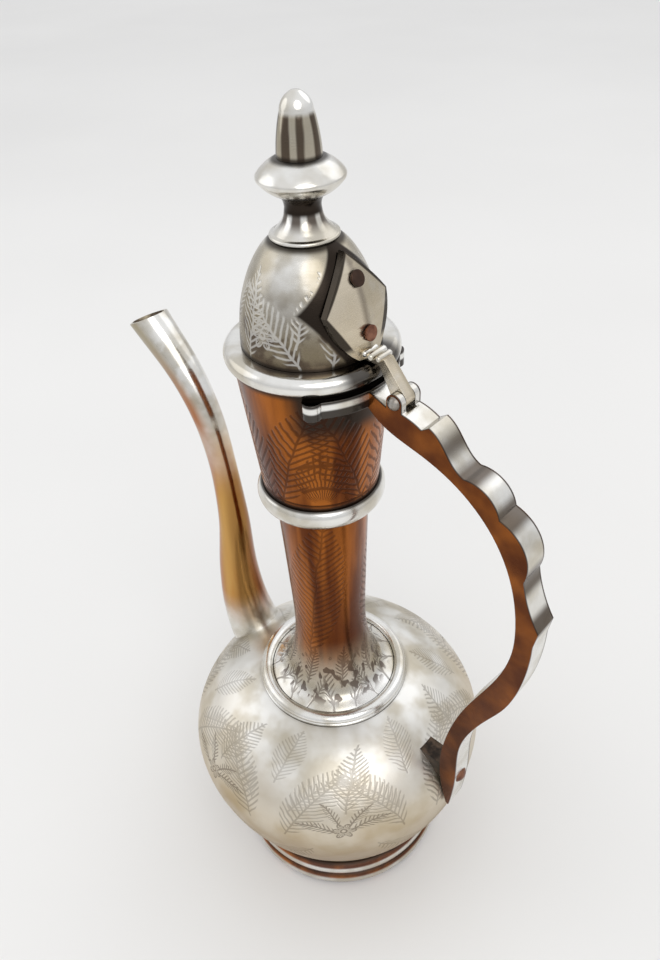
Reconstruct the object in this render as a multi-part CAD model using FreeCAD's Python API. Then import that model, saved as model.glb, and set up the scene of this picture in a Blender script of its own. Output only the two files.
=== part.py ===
import FreeCAD, Part
import math
import os

# A tall metal coffee pot with a swan-neck spout, a cast scroll handle and a hinged domed lid.
# Millimetres. +Z is up, the spout points to -X and the handle to +X, and the origin is the
# centre of the face that the foot stands on.

# Foot and base
FOOT_HEIGHT = 12.0
FOOT_BORE_RADIUS = 30.0
FOOT_TREAD_RADIUS = 33.4
FOOT_GROOVE_RADIUS = 34.0
FOOT_GROOVE_HEIGHT = 6.0
FOOT_BEAD_BULGE = 1.9
BASE_DISC_THICKNESS = 1.2

# Body: a bowl below the belly seam and a shoulder above it
BODY_WALL = 1.2
BODY_SEAT_RADIUS = 33.6
BELLY_RADIUS = 47.6
BOWL_HEIGHT = 42.0
BOWL_SHAPE = ((0, 0), (0.52, 0.40), (0.86, 0.71), (1, 1))
SHOULDER_HEIGHT = 25.4
SHOULDER_FULLNESS = 1.75
SHOULDER_STEPS = 6
BODY_OPENING_RADIUS = 16.0

# Collar ring round the foot of the neck
COLLAR_RADIUS = 23.6
COLLAR_BORE_RADIUS = 19.5
COLLAR_HEIGHT = 2.0

# Neck: a slim lower stem with a trumpet skirt, and a cup above the middle ring
NECK_WALL = 1.1
SKIRT_RADIUS = 19.4
NECK_WAIST_RADIUS = 10.75
NECK_WAIST_HEIGHT = 26.0
NECK_STEM_RADIUS = 12.5
NECK_STEM_HEIGHT = 75.1
SKIRT_SHAPE = ((0, 0), (0.46, 0.10), (0.75, 0.32), (0.95, 0.66), (1, 1))
STEM_SHAPE = ((0.3, 0.36), (0.72, 0.74), (1, 1))
CUP_FOOT_RADIUS = 14.9
CUP_MOUTH_RADIUS = 18.7
CUP_HEIGHT = 39.0

# Middle ring: the stem butts against its web from below and the cup stands on it
MID_RING_RADIUS = 16.8
MID_RING_DROP = 2.7
MID_RING_RISE = 2.3
MID_RING_WEB = 1.0
MID_RING_LIP = 0.4

# Rolled rim round the mouth
RIM_RADIUS = 20.6
RIM_BORE_RADIUS = 15.7
RIM_RISE = 3.7
RIM_DROP = 0.6
RIM_LIP = 0.4

# Spout
SPOUT_WALL = 1.0
SPOUT_ROOT_RADIUS = 10.0
SPOUT_THROAT_RADIUS = 4.05
SPOUT_MOUTH_RADIUS = 6.0
SPOUT_THROAT_PLACE = 0.62
SPOUT_TAPER = 1.5
SPOUT_LIP_TILT = 17.0
SPOUT_REACH = 66.0
SPOUT_TIP_DROP = 11.5
SPOUT_SECTIONS = 11

# Handle
HANDLE_WIDTH = 7.0
HANDLE_ROOT = 1.0
POST_WIDTH = 5.6
POST_HEIGHT = 7.0
POST_RISE = 13.5
HANDLE_RIVET_RADIUS = 1.5
HANDLE_RIVET_HEAD_RADIUS = 2.4
HANDLE_RIVET_HEAD_HEIGHT = 1.1

# Saddle band under the rim, which carries the top of the handle
SADDLE_THICKNESS = 1.9
SADDLE_HEIGHT = 4.2
SADDLE_SPREAD = 48.0
SADDLE_KNOB_RADIUS = 2.2
SADDLE_BELOW_MOUTH = 3.7

# Hinge
HINGE_OUT = 6.4
HINGE_BELOW_RIM = 5.9
KNUCKLE_RADIUS = 2.0
KNUCKLE_WIDTH = 3.0
KNUCKLE_SIDE_GAP = 0.15
KNUCKLE_SLOT_GAP = 0.6
PIN_RADIUS = 1.0
PIN_RUNNING_GAP = 0.05
PIN_HEAD_RADIUS = 1.7
PIN_HEAD_HEIGHT = 1.2

# Lid
LID_SEAT_GAP = 0.1
DOME_RADIUS = 16.3
DOME_TOP_RADIUS = 7.2
DOME_HEIGHT = 23.7
DOME_WALL = 1.0
DOME_SHAPE = ((0, 0), (0.02, 0.14), (0.09, 0.35), (0.22, 0.54), (0.42, 0.73), (0.72, 0.91), (1, 1))
DOME_TOP_SLOPE = 0.5
FLANGE_WALL = 0.8
FLANGE_DEPTH = 2.4
FLANGE_LIP = 1.0
FLANGE_CLEARANCE = 1.3

# Leaf-shaped hinge strap on the lid, folded along its middle
STRAP_THICKNESS = 1.2
STRAP_CLEARANCE = 0.05
STRAP_RIM_GAP = 0.55
STRAP_TAIL_THICKNESS = 1.7
LEAF_HALF_WIDTH = 9.8
LEAF_ROOT_HALF_WIDTH = 3.2
LEAF_ROOT_RISE = 0.9
LEAF_WIDEST_RISE = 12.2
LEAF_TOP_DROP = 1.0
LEAF_LOWER_SWELL = 1.5
LEAF_UPPER_SWELL = 0.5
LEAF_GABLE_ANGLE = 13.0
STRAP_RIVET_RISES = (6.2, 17.0)
STRAP_RIVET_RADIUS = 1.3
STRAP_RIVET_HEAD_RADIUS = 1.8
STRAP_RIVET_HEAD_HEIGHT = 0.6
STRAP_RIVET_TAIL = 0.6

# Finial
FINIAL_BASE_RADIUS = 7.6
FINIAL_BASE_HEIGHT = 8.6
FINIAL_BASE_EDGE = 0.6
FINIAL_WAIST_RADIUS = 3.9
FINIAL_WAIST_HEIGHT = 6.0
FINIAL_FLARE_SHAPE = ((0, 0), (0.35, 0.2), (0.8, 0.55), (1, 1))
FINIAL_NECK_RADIUS = 4.7
DISC_RADIUS = 9.3
DISC_HEIGHT = 7.4
DISC_EDGE = 0.8
DISC_SWELL = 0.4
TIP_FOOT_RADIUS = 4.7
TIP_SHOULDER_RADIUS = 3.4
TIP_TOP_RADIUS = 1.5
TIP_HEIGHT = 12.0
TIP_NOSE_HEIGHT = 3.6
TIP_CROWN_HEIGHT = 0.5
STUD_RADIUS = 1.5
STUD_ENGAGEMENT = 5.0
NUT_HEIGHT = 2.4
NUT_ACROSS_FLATS = 5.5
WASHER_RADIUS = 3.5
WASHER_THICKNESS = 0.5
STUD_END = 0.8

# Room left by solder between pieces that are joined for good
SOLDER_GAP = 0.05

# Heights worked out from the stack of pieces
belly_z = FOOT_HEIGHT + BOWL_HEIGHT
shoulder_z = belly_z + SHOULDER_HEIGHT
joint_z = shoulder_z + NECK_STEM_HEIGHT
cup_z = joint_z + MID_RING_WEB
mouth_z = cup_z + CUP_HEIGHT
rim_z = mouth_z + RIM_RISE
dome_z = rim_z + LID_SEAT_GAP
dome_top_z = dome_z + DOME_HEIGHT
finial_disc_z = dome_top_z + FINIAL_BASE_HEIGHT
finial_tip_z = finial_disc_z + DISC_HEIGHT
saddle_z = mouth_z - SADDLE_BELOW_MOUTH
hinge_z = rim_z - HINGE_BELOW_RIM
post_z = belly_z + POST_RISE

# Radii worked out from the pieces that they fit
cup_slope = (CUP_MOUTH_RADIUS - CUP_FOOT_RADIUS) / CUP_HEIGHT
saddle_radius = CUP_MOUTH_RADIUS - cup_slope * SADDLE_BELOW_MOUTH + SADDLE_THICKNESS
hinge_x = saddle_radius + HINGE_OUT
stud_hole_radius = STUD_RADIUS + SOLDER_GAP

# A folded plate meets a round dome on both sides of its fold, so the fold itself stands off
leaf_fall = math.tan(math.radians(LEAF_GABLE_ANGLE))
strap_gap = DOME_RADIUS * leaf_fall ** 2 / 2 + STRAP_CLEARANCE

ORIGIN = FreeCAD.Vector(0, 0, 0)
ACROSS = FreeCAD.Vector(0, 1, 0)
UP = FreeCAD.Vector(0, 0, 1)
OUTWARD = FreeCAD.Vector(1, 0, 0)


def at(x, z, y=0.0):
    return FreeCAD.Vector(x, y, z)


def line(start, end):
    return Part.makeLine(at(*start), at(*end))


def polyline(points):
    return [line(a, b) for a, b in zip(points, points[1:])]


def arc(start, middle, end):
    return Part.Arc(at(*start), at(*middle), at(*end)).toShape()


def swollen(start, end, swell):
    """An arc between two points of the XZ plane that stands out from its chord, to the right of the way."""
    chord = math.hypot(end[0] - start[0], end[1] - start[1])
    aside = swell / chord
    middle = ((start[0] + end[0]) / 2 + aside * (end[1] - start[1]),
              (start[1] + end[1]) / 2 - aside * (end[0] - start[0]))
    return arc(start, middle, end)


def smooth(points, start_way=None, end_way=None):
    """A smooth curve through points of the XZ plane, with ways of leaving and arriving if given."""
    curve = Part.BSplineCurve()
    ends = {}
    if start_way:
        ends["InitialTangent"] = at(*start_way)
        ends["FinalTangent"] = at(*end_way)
    curve.interpolate(Points=[at(*p) for p in points], **ends)
    return curve


def face(edges):
    return Part.Face(Part.Wire(edges))


def turned(edges, degrees=360.0):
    return face(edges).revolve(ORIGIN, UP, degrees)


def plate(edges, width):
    """A face of the XZ plane given a width in Y, half of it on each side."""
    solid = face(edges).extrude(ACROSS * width)
    solid.translate(ACROSS * (-width / 2))
    return solid


def spaced(low, high, shares):
    """Points from low to high: each share says how far the radius and the height have come."""
    return [(low[0] + a * (high[0] - low[0]), low[1] + b * (high[1] - low[1])) for a, b in shares]


def inner_points(curve, points, wall):
    """The points moved inwards by the wall's thickness, square to the curve."""
    moved = []
    for x, z in points:
        way = curve.tangent(curve.parameter(at(x, z)))[0]
        moved.append((x - wall * way.z, z + wall * way.x))
    return moved


def shell_edges(points, wall, start_way=None, end_way=None):
    outer = smooth(points, start_way, end_way)
    inside = inner_points(outer, points, wall)
    inner = smooth(inside, start_way, end_way)
    return [outer.toShape(), line(points[-1], inside[-1]), inner.toShape(), line(inside[0], points[0])]


def pin_along(axis, start, radius, length):
    return Part.makeCylinder(radius, length, start, axis)


def bowl_points():
    return spaced((BODY_SEAT_RADIUS, FOOT_HEIGHT), (BELLY_RADIUS, belly_z), BOWL_SHAPE)


def shoulder_points():
    points = []
    for step in range(SHOULDER_STEPS + 1):
        angle = math.pi / 2 * step / SHOULDER_STEPS
        out = max(math.cos(angle), 0.0) ** (2 / SHOULDER_FULLNESS)
        rise = math.sin(angle) ** (2 / SHOULDER_FULLNESS)
        radius = BODY_OPENING_RADIUS + out * (BELLY_RADIUS - BODY_OPENING_RADIUS)
        points.append((radius, belly_z + rise * SHOULDER_HEIGHT))
    return points


def body_blank():
    """The body's outside as one filled solid, for fitting pieces to it."""
    bowl = smooth(bowl_points(), (0, 1), (0, 1)).toShape()
    shoulder = smooth(shoulder_points(), (0, 1), (-1, 0)).toShape()
    closing = polyline([(BODY_OPENING_RADIUS, shoulder_z), (0, shoulder_z), (0, FOOT_HEIGHT),
                        (BODY_SEAT_RADIUS, FOOT_HEIGHT)])
    return turned([bowl, shoulder] + closing)


def foot_ring():
    groove = (FOOT_GROOVE_RADIUS, FOOT_GROOVE_HEIGHT)
    lower = arc((FOOT_TREAD_RADIUS, 0),
                (FOOT_GROOVE_RADIUS + FOOT_BEAD_BULGE, FOOT_GROOVE_HEIGHT / 2), groove)
    upper_middle = (FOOT_GROOVE_HEIGHT + FOOT_HEIGHT) / 2
    upper = arc(groove, (BODY_SEAT_RADIUS + FOOT_BEAD_BULGE, upper_middle), (BODY_SEAT_RADIUS, FOOT_HEIGHT))
    closing = polyline([(BODY_SEAT_RADIUS, FOOT_HEIGHT), (FOOT_BORE_RADIUS, FOOT_HEIGHT),
                        (FOOT_BORE_RADIUS, 0), (FOOT_TREAD_RADIUS, 0)])
    return turned([lower, upper] + closing)


def base_disc():
    radius = BODY_SEAT_RADIUS - BODY_WALL - SOLDER_GAP
    return pin_along(UP, at(0, FOOT_HEIGHT), radius, BASE_DISC_THICKNESS)


def body_lower_shell():
    return turned(shell_edges(bowl_points(), BODY_WALL, (0, 1), (0, 1)))


def body_upper_shell(spout_bore):
    shell = turned(shell_edges(shoulder_points(), BODY_WALL, (0, 1), (-1, 0)))
    return shell.cut(spout_bore)


def neck_collar(blank):
    middle = (COLLAR_RADIUS + COLLAR_BORE_RADIUS) / 2
    crown = arc((COLLAR_RADIUS, shoulder_z), (middle, shoulder_z + COLLAR_HEIGHT), (COLLAR_BORE_RADIUS, shoulder_z))
    sunk_z = shoulder_z - COLLAR_HEIGHT
    closing = polyline([(COLLAR_BORE_RADIUS, shoulder_z), (COLLAR_BORE_RADIUS, sunk_z), (COLLAR_RADIUS, sunk_z),
                        (COLLAR_RADIUS, shoulder_z)])
    return turned([crown] + closing).cut(blank)


def neck_lower(blank):
    waist = (NECK_WAIST_RADIUS, shoulder_z + NECK_WAIST_HEIGHT)
    skirt = spaced((SKIRT_RADIUS, shoulder_z + NECK_WALL), waist, SKIRT_SHAPE)
    stem = spaced(waist, (NECK_STEM_RADIUS, joint_z), STEM_SHAPE)
    outer = smooth(skirt + stem)
    inside = inner_points(outer, skirt + stem, NECK_WALL)
    inside[-1] = (NECK_STEM_RADIUS - NECK_WALL, joint_z)
    edges = [outer.toShape(), line(stem[-1], inside[-1]), smooth(inside).toShape(), line(inside[0], skirt[0])]
    return turned(edges).cut(blank)


def mid_ring():
    bore = NECK_STEM_RADIUS + SOLDER_GAP
    seat = CUP_FOOT_RADIUS + SOLDER_GAP + cup_slope * MID_RING_RISE
    web = NECK_STEM_RADIUS - NECK_WALL
    low_z = joint_z - MID_RING_DROP
    high_z = cup_z + MID_RING_RISE
    bead = arc((seat + MID_RING_LIP, high_z), (MID_RING_RADIUS, (low_z + high_z) / 2), (seat, low_z))
    closing = polyline([(seat, low_z), (bore, low_z), (bore, joint_z), (web, joint_z), (web, cup_z), (seat, cup_z),
                        (seat, high_z), (seat + MID_RING_LIP, high_z)])
    return turned([bead] + closing)


def neck_upper():
    return turned(polyline([(CUP_FOOT_RADIUS, cup_z), (CUP_MOUTH_RADIUS, mouth_z),
                            (CUP_MOUTH_RADIUS - NECK_WALL, mouth_z), (CUP_FOOT_RADIUS - NECK_WALL, cup_z),
                            (CUP_FOOT_RADIUS, cup_z)]))


def mouth_rim():
    seat = CUP_MOUTH_RADIUS + SOLDER_GAP
    low_z = mouth_z - RIM_DROP
    flat = (RIM_BORE_RADIUS + RIM_RADIUS) / 2
    roll = arc((flat, rim_z), (RIM_RADIUS, (rim_z + low_z) / 2), (seat + RIM_LIP, low_z))
    closing = polyline([(seat + RIM_LIP, low_z), (seat, low_z), (seat, mouth_z), (RIM_BORE_RADIUS, mouth_z),
                        (RIM_BORE_RADIUS, rim_z), (flat, rim_z)])
    return turned([roll] + closing)


def spout_line():
    """Centre line of the spout: low points stand on the belly, high points hang from the mouth."""
    def low(inset, rise):
        return (inset - BELLY_RADIUS, shoulder_z + rise)

    def high(inset, drop):
        return (inset - SPOUT_REACH, mouth_z - SPOUT_TIP_DROP - drop)

    return smooth([low(14.8, -18.9), low(7.1, -2.4), low(5.2, 15.6), low(6.9, 42.6),
                   high(22.4, 32.5), high(14.9, 15.5), high(0, 0)])


def spout_radius(place):
    if place < SPOUT_THROAT_PLACE:
        far = (SPOUT_THROAT_PLACE - place) / SPOUT_THROAT_PLACE
        return SPOUT_THROAT_RADIUS + (SPOUT_ROOT_RADIUS - SPOUT_THROAT_RADIUS) * far ** SPOUT_TAPER
    far = (place - SPOUT_THROAT_PLACE) / (1 - SPOUT_THROAT_PLACE)
    return SPOUT_THROAT_RADIUS + (SPOUT_MOUTH_RADIUS - SPOUT_THROAT_RADIUS) * far ** SPOUT_TAPER


def lean_of(way):
    """How far a way in the XZ plane leans from upright, in degrees about +Y."""
    return math.degrees(math.atan2(way.x, way.z))


def spout_rod(inset, overrun):
    """The spout as a solid rod, drawn in by inset and lengthened by overrun at both ends."""
    curve = spout_line()
    last = SPOUT_SECTIONS - 1
    rings = []
    for step in range(SPOUT_SECTIONS):
        along = curve.LastParameter * step / last
        way = curve.tangent(along)[0]
        spot = curve.value(along)
        if step in (0, last):
            spot = spot + way * (overrun if step else -overrun)
        ring = Part.Wire(Part.makeCircle(spout_radius(step / last) - inset))
        ring.rotate(ORIGIN, ACROSS, lean_of(way))
        ring.translate(spot)
        rings.append(ring)
    return Part.makeLoft(rings, True, False)


def spout_tube(bore, blank):
    """The rod drilled out, trimmed to the body and cut off on a slant at the mouth."""
    curve = spout_line()
    tip = curve.value(curve.LastParameter)
    reach = 2 * SPOUT_MOUTH_RADIUS
    beyond = Part.makeBox(2 * reach, 2 * reach, 2 * reach, FreeCAD.Vector(-reach, -reach, 0))
    beyond.rotate(ORIGIN, ACROSS, lean_of(curve.tangent(curve.LastParameter)[0]) + SPOUT_LIP_TILT)
    beyond.translate(tip)
    return spout_rod(0, SPOUT_MOUTH_RADIUS).cut(beyond).cut(bore).cut(blank)


def handle_edges():
    """Outline of the handle: top points hang from the saddle, bottom points stand on the belly."""
    def top(out, drop):
        return (saddle_radius + out, saddle_z - drop)

    def low(out, rise):
        return (BELLY_RADIUS + out, belly_z + rise)

    inside = [top(-HANDLE_ROOT, 1.9), top(4.2, 5.8), top(13.8, 8.7), top(24.4, 13.2), top(33.8, 21.8),
              top(39.1, 32.0), top(41.6, 43.4), low(14.5, 84.5), low(11.1, 70.0), low(3.9, 52.1),
              low(-1.4, 32.0), low(-2.6, 20.0), low(-1.8, 10.0), low(0.6, 0.0)]
    back = [low(1.6, -0.6), low(2.4, 6.0), low(3.0, 16.0), low(3.3, 32.0), low(5.6, 41.2),
            low(10.2, 52.1), low(14.6, 61.3), low(17.4, 70.7), low(18.8, 80.0), low(19.1, 89.0)]
    spur = top(47.2, 43.0)
    waist = top(41.9, 29.8)
    third_lobe = top(34.4, 16.3)
    second_lobe = top(24.9, 10.0)
    first_lobe = top(15.7, 1.0)
    step = top(13.7, 2.4)
    collar = top(4.7, 0.6)
    start = top(-HANDLE_ROOT, -1.9)
    return [smooth(inside).toShape(), line(inside[-1], back[0]), smooth(back).toShape(),
            line(back[-1], spur), arc(spur, top(43.5, 35.6), waist),
            arc(waist, top(39.4, 19.2), third_lobe), arc(third_lobe, top(30.3, 10.9), second_lobe),
            smooth([second_lobe, top(21.4, 7.1), top(18.8, 3.5), first_lobe]).toShape(),
            line(first_lobe, step), arc(step, top(9.1, 0.7), collar), line(collar, start),
            line(start, inside[0])]


def saddle_blank():
    """The saddle band's outside as a filled drum."""
    low_z = saddle_z - SADDLE_HEIGHT / 2
    high_z = saddle_z + SADDLE_HEIGHT / 2
    return turned(polyline([(0, low_z), (saddle_radius, low_z), (saddle_radius, high_z), (0, high_z), (0, low_z)]))


def neck_saddle():
    low_z = saddle_z - SADDLE_HEIGHT / 2
    high_z = saddle_z + SADDLE_HEIGHT / 2
    low_r = CUP_MOUTH_RADIUS - cup_slope * (mouth_z - low_z)
    high_r = CUP_MOUTH_RADIUS - cup_slope * (mouth_z - high_z)
    section = polyline([(low_r, low_z), (saddle_radius, low_z), (saddle_radius, high_z), (high_r, high_z),
                        (low_r, low_z)])
    band = turned(section, 2 * SADDLE_SPREAD)
    band.rotate(ORIGIN, UP, -SADDLE_SPREAD)
    cup = turned(polyline([(0, cup_z), (CUP_FOOT_RADIUS, cup_z), (CUP_MOUTH_RADIUS, mouth_z), (0, mouth_z),
                           (0, cup_z)]))
    for side in (-1, 1):
        knob = pin_along(UP, at(saddle_radius - SADDLE_THICKNESS / 2, low_z), SADDLE_KNOB_RADIUS, SADDLE_HEIGHT)
        knob.rotate(ORIGIN, UP, side * SADDLE_SPREAD)
        band = band.fuse(knob)
    return band.cut(cup).removeSplitter()


def hinge_ears():
    """The boss on the handle's top that becomes two ears when the slot is cut."""
    middle = HANDLE_WIDTH / 2
    boss = pin_along(ACROSS, at(hinge_x, hinge_z, -middle), KNUCKLE_RADIUS, HANDLE_WIDTH)
    web_z = saddle_z - SADDLE_HEIGHT / 2
    web = Part.makeBox(2 * KNUCKLE_RADIUS, HANDLE_WIDTH, hinge_z - web_z,
                       at(hinge_x - KNUCKLE_RADIUS, web_z, -middle))
    return boss.fuse(web)


def knuckle_slot():
    """The gap between the ears, with room round the lid's knuckle."""
    slot = KNUCKLE_WIDTH + 2 * KNUCKLE_SIDE_GAP
    reach = KNUCKLE_RADIUS + KNUCKLE_SLOT_GAP
    return Part.makeBox(2 * reach, slot, 2 * reach, at(hinge_x - reach, hinge_z - reach, -slot / 2))


def handle_bar(blank):
    """The handle before it is drilled for its rivet."""
    bar = plate(handle_edges(), HANDLE_WIDTH).fuse(hinge_ears())
    pin_hole = pin_along(ACROSS, at(hinge_x, hinge_z, -HANDLE_WIDTH), PIN_RADIUS, 2 * HANDLE_WIDTH)
    return bar.cut(knuckle_slot()).cut(saddle_blank()).cut(blank).cut(pin_hole).removeSplitter()


def rivet_bore():
    return pin_along(OUTWARD, at(0, post_z), HANDLE_RIVET_RADIUS, 2 * BELLY_RADIUS)


def handle_post(blank, bar):
    corner = at(0, post_z - POST_HEIGHT / 2, -POST_WIDTH / 2)
    beam = Part.makeBox(2 * BELLY_RADIUS, POST_WIDTH, POST_HEIGHT, corner).cut(blank).cut(bar)
    nearest = min(beam.Solids, key=lambda piece: piece.CenterOfMass.x)
    return nearest.cut(rivet_bore())


def domed_head(seat, way, radius, height):
    """A rivet head: a disc on its seat, rounded off by a ball."""
    ball_radius = radius ** 2 / (2 * height) + height / 2
    ball = Part.makeSphere(ball_radius, seat + way * (height - ball_radius))
    return pin_along(way, seat, radius, height).common(ball)


def handle_rivet(blank, bar):
    """A rivet from the handle's back, through the post, to the body's skin."""
    core = rivet_bore().common(bar)
    back_x = core.BoundBox.XMax
    shank = pin_along(OUTWARD, at(0, post_z), HANDLE_RIVET_RADIUS, back_x).cut(blank)
    head = domed_head(at(back_x, post_z), OUTWARD, HANDLE_RIVET_HEAD_RADIUS, HANDLE_RIVET_HEAD_HEIGHT)
    return shank.fuse(head.cut(bar)).removeSplitter()


def hinge_pin():
    half = HANDLE_WIDTH / 2
    pin = pin_along(ACROSS, at(hinge_x, hinge_z, -half), PIN_RADIUS, HANDLE_WIDTH)
    for side in (-1, 1):
        seat = at(hinge_x, hinge_z, side * half)
        pin = pin.fuse(domed_head(seat, ACROSS * side, PIN_HEAD_RADIUS, PIN_HEAD_HEIGHT))
    return pin.removeSplitter()


def dome_points():
    return spaced((DOME_RADIUS, dome_z), (DOME_TOP_RADIUS, dome_top_z), DOME_SHAPE)


def dome_smooth(points):
    """A curve that leaves the lid's edge straight up and meets the finial's seat on a slope."""
    return smooth(points, (0, 1), (-1, DOME_TOP_SLOPE))


def dome_curve():
    return dome_smooth(dome_points())


def dome_spot(rise):
    """A point of the dome's outside at a height above its edge, and the way out of the metal there."""
    curve = dome_curve()
    plane = Part.Plane(at(0, dome_z + rise), UP)
    spot = curve.intersect(plane)[0][0]
    way = curve.tangent(curve.parameter(FreeCAD.Vector(spot.X, 0, spot.Z)))[0]
    return FreeCAD.Vector(spot.X, 0, spot.Z), FreeCAD.Vector(way.z, 0, -way.x)


def rivet_holes():
    holes = []
    for rise in STRAP_RIVET_RISES:
        spot, out = dome_spot(rise)
        reach = DOME_WALL + STRAP_THICKNESS + STRAP_RIVET_HEAD_RADIUS
        holes.append(pin_along(out, spot - out * reach, STRAP_RIVET_RADIUS, 2 * reach))
    return holes


def lid_dome():
    points = dome_points()
    curve = dome_curve()
    inside = inner_points(curve, points, DOME_WALL)
    inside[-1] = (inside[-1][0], dome_top_z - DOME_WALL)
    inner = dome_smooth(inside).toShape()
    top = polyline([points[-1], (stud_hole_radius, dome_top_z), (stud_hole_radius, dome_top_z - DOME_WALL),
                    inside[-1]])
    return turned([curve.toShape()] + top + [inner, line(inside[0], points[0])]).cut(rivet_holes())


def lid_flange(dome):
    """The sleeve that centres the lid in the mouth; its lip is trimmed to the inside of the dome."""
    outer = RIM_BORE_RADIUS - FLANGE_CLEARANCE
    inner = outer - FLANGE_WALL
    lip = DOME_RADIUS - DOME_WALL / 2
    sleeve = turned(polyline([(inner, dome_z - FLANGE_DEPTH), (outer, dome_z - FLANGE_DEPTH), (outer, dome_z),
                              (lip, dome_z), (lip, dome_z + FLANGE_LIP), (inner, dome_z + FLANGE_LIP),
                              (inner, dome_z - FLANGE_DEPTH)]))
    return sleeve.cut(dome)


def leaf_outline():
    """The leaf seen from the handle's side, as a bar along X to cut the bent plate with."""
    root_z = dome_z + LEAF_ROOT_RISE
    wide_z = dome_z + LEAF_WIDEST_RISE
    top_z = dome_top_z - LEAF_TOP_DROP

    def side(way):
        lower_width = (LEAF_HALF_WIDTH + LEAF_ROOT_HALF_WIDTH) / 2 + LEAF_LOWER_SWELL
        upper_width = LEAF_HALF_WIDTH / 2 + LEAF_UPPER_SWELL
        return [at(0, root_z, way * LEAF_ROOT_HALF_WIDTH), at(0, (root_z + wide_z) / 2, way * lower_width),
                at(0, wide_z, way * LEAF_HALF_WIDTH), at(0, (wide_z + top_z) / 2, way * upper_width),
                at(0, top_z)]

    left, right = side(-1), side(1)
    edges = [Part.makeLine(left[0], right[0])]
    for points in (right, left):
        edges.append(Part.Arc(points[0], points[1], points[2]).toShape())
        edges.append(Part.Arc(points[2], points[3], points[4]).toShape())
    outline = Part.Wire(Part.__sortEdges__(edges))
    return Part.Face(outline).extrude(FreeCAD.Vector(2 * DOME_RADIUS, 0, 0))


def strap_leaf():
    """The folded leaf: the dome's curve swept straight out to both sides of the fold, then trimmed."""
    points = dome_points()
    curve = dome_curve()
    under = inner_points(curve, points, -strap_gap)
    over = inner_points(curve, points, -strap_gap - STRAP_THICKNESS)
    section = face([dome_smooth(under).toShape(), line(under[-1], over[-1]), dome_smooth(over).toShape(),
                    line(over[0], under[0])])
    facets = []
    reach = LEAF_HALF_WIDTH + LEAF_LOWER_SWELL
    for side in (-1, 1):
        facets.append(section.extrude(FreeCAD.Vector(-leaf_fall * reach, side * reach, 0)))
    return facets[0].fuse(facets[1]).common(leaf_outline())


def strap_tail():
    """The tail that bends over the rim and down to the knuckle."""
    low_z = rim_z + STRAP_RIM_GAP
    high_z = low_z + STRAP_TAIL_THICKNESS
    start_x = DOME_RADIUS + strap_gap
    bend_x = RIM_RADIUS + STRAP_RIM_GAP
    lean = KNUCKLE_RADIUS * math.sqrt(0.5)
    return plate(polyline([(start_x, low_z), (bend_x, low_z), (hinge_x - lean, hinge_z - lean),
                           (hinge_x + lean, hinge_z + lean), (bend_x + lean, high_z), (start_x, high_z),
                           (start_x, low_z)]), KNUCKLE_WIDTH)


def lid_strap():
    knuckle = pin_along(ACROSS, at(hinge_x, hinge_z, -KNUCKLE_WIDTH / 2), KNUCKLE_RADIUS, KNUCKLE_WIDTH)
    pin_hole = pin_along(ACROSS, at(hinge_x, hinge_z, -HANDLE_WIDTH), PIN_RADIUS + PIN_RUNNING_GAP,
                         2 * HANDLE_WIDTH)
    strap = strap_leaf().fuse(strap_tail()).fuse(knuckle)
    return strap.cut(pin_hole).cut(rivet_holes()).removeSplitter()


def strap_rivets():
    rivets = []
    for rise in STRAP_RIVET_RISES:
        spot, out = dome_spot(rise)
        start = spot - out * (DOME_WALL + STRAP_RIVET_TAIL)
        seat = spot + out * (strap_gap + STRAP_THICKNESS)
        length = DOME_WALL + STRAP_RIVET_TAIL + strap_gap + STRAP_THICKNESS
        shank = pin_along(out, start, STRAP_RIVET_RADIUS, length)
        head = pin_along(out, seat, STRAP_RIVET_HEAD_RADIUS, STRAP_RIVET_HEAD_HEIGHT)
        rivets.append(shank.fuse(head).removeSplitter())
    return Part.makeCompound(rivets)


def finial_base():
    low, high = dome_top_z, finial_disc_z
    edge_z = low + FINIAL_BASE_EDGE
    waist = (FINIAL_WAIST_RADIUS, low + FINIAL_WAIST_HEIGHT)
    flare = spaced((FINIAL_BASE_RADIUS, edge_z), waist, FINIAL_FLARE_SHAPE)
    outer = smooth(flare + [(FINIAL_NECK_RADIUS, high)]).toShape()
    closing = polyline([(FINIAL_NECK_RADIUS, high), (stud_hole_radius, high), (stud_hole_radius, low),
                        (FINIAL_BASE_RADIUS, low), (FINIAL_BASE_RADIUS, edge_z)])
    return turned([outer] + closing)


def finial_disc():
    low, high = finial_disc_z, finial_tip_z
    middle = (low + high) / 2
    edge = DISC_EDGE / 2
    under = (DISC_RADIUS - edge, middle - edge)
    over = (DISC_RADIUS - edge, middle + edge)
    seat = (TIP_FOOT_RADIUS + DISC_EDGE, high)
    lower = swollen((FINIAL_NECK_RADIUS, low), under, DISC_SWELL)
    upper = swollen(over, seat, DISC_SWELL)
    closing = polyline([seat, (stud_hole_radius, high), (stud_hole_radius, low), (FINIAL_NECK_RADIUS, low)])
    return turned([lower, arc(under, (DISC_RADIUS, middle), over), upper] + closing)


def finial_tip():
    low = finial_tip_z
    top = low + TIP_HEIGHT
    nose = top - TIP_NOSE_HEIGHT
    edge = (TIP_TOP_RADIUS, top - TIP_CROWN_HEIGHT)
    ball_radius = TIP_TOP_RADIUS ** 2 / (2 * TIP_CROWN_HEIGHT) + TIP_CROWN_HEIGHT / 2
    half = TIP_TOP_RADIUS / 2
    crown = arc(edge, (half, top - ball_radius + math.sqrt(ball_radius ** 2 - half ** 2)), (0, top))
    bore_z = low + STUD_ENGAGEMENT
    closing = polyline([(0, top), (0, bore_z), (STUD_RADIUS, bore_z), (STUD_RADIUS, low), (TIP_FOOT_RADIUS, low),
                        (TIP_SHOULDER_RADIUS, nose), edge])
    return turned([crown] + closing)


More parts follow.
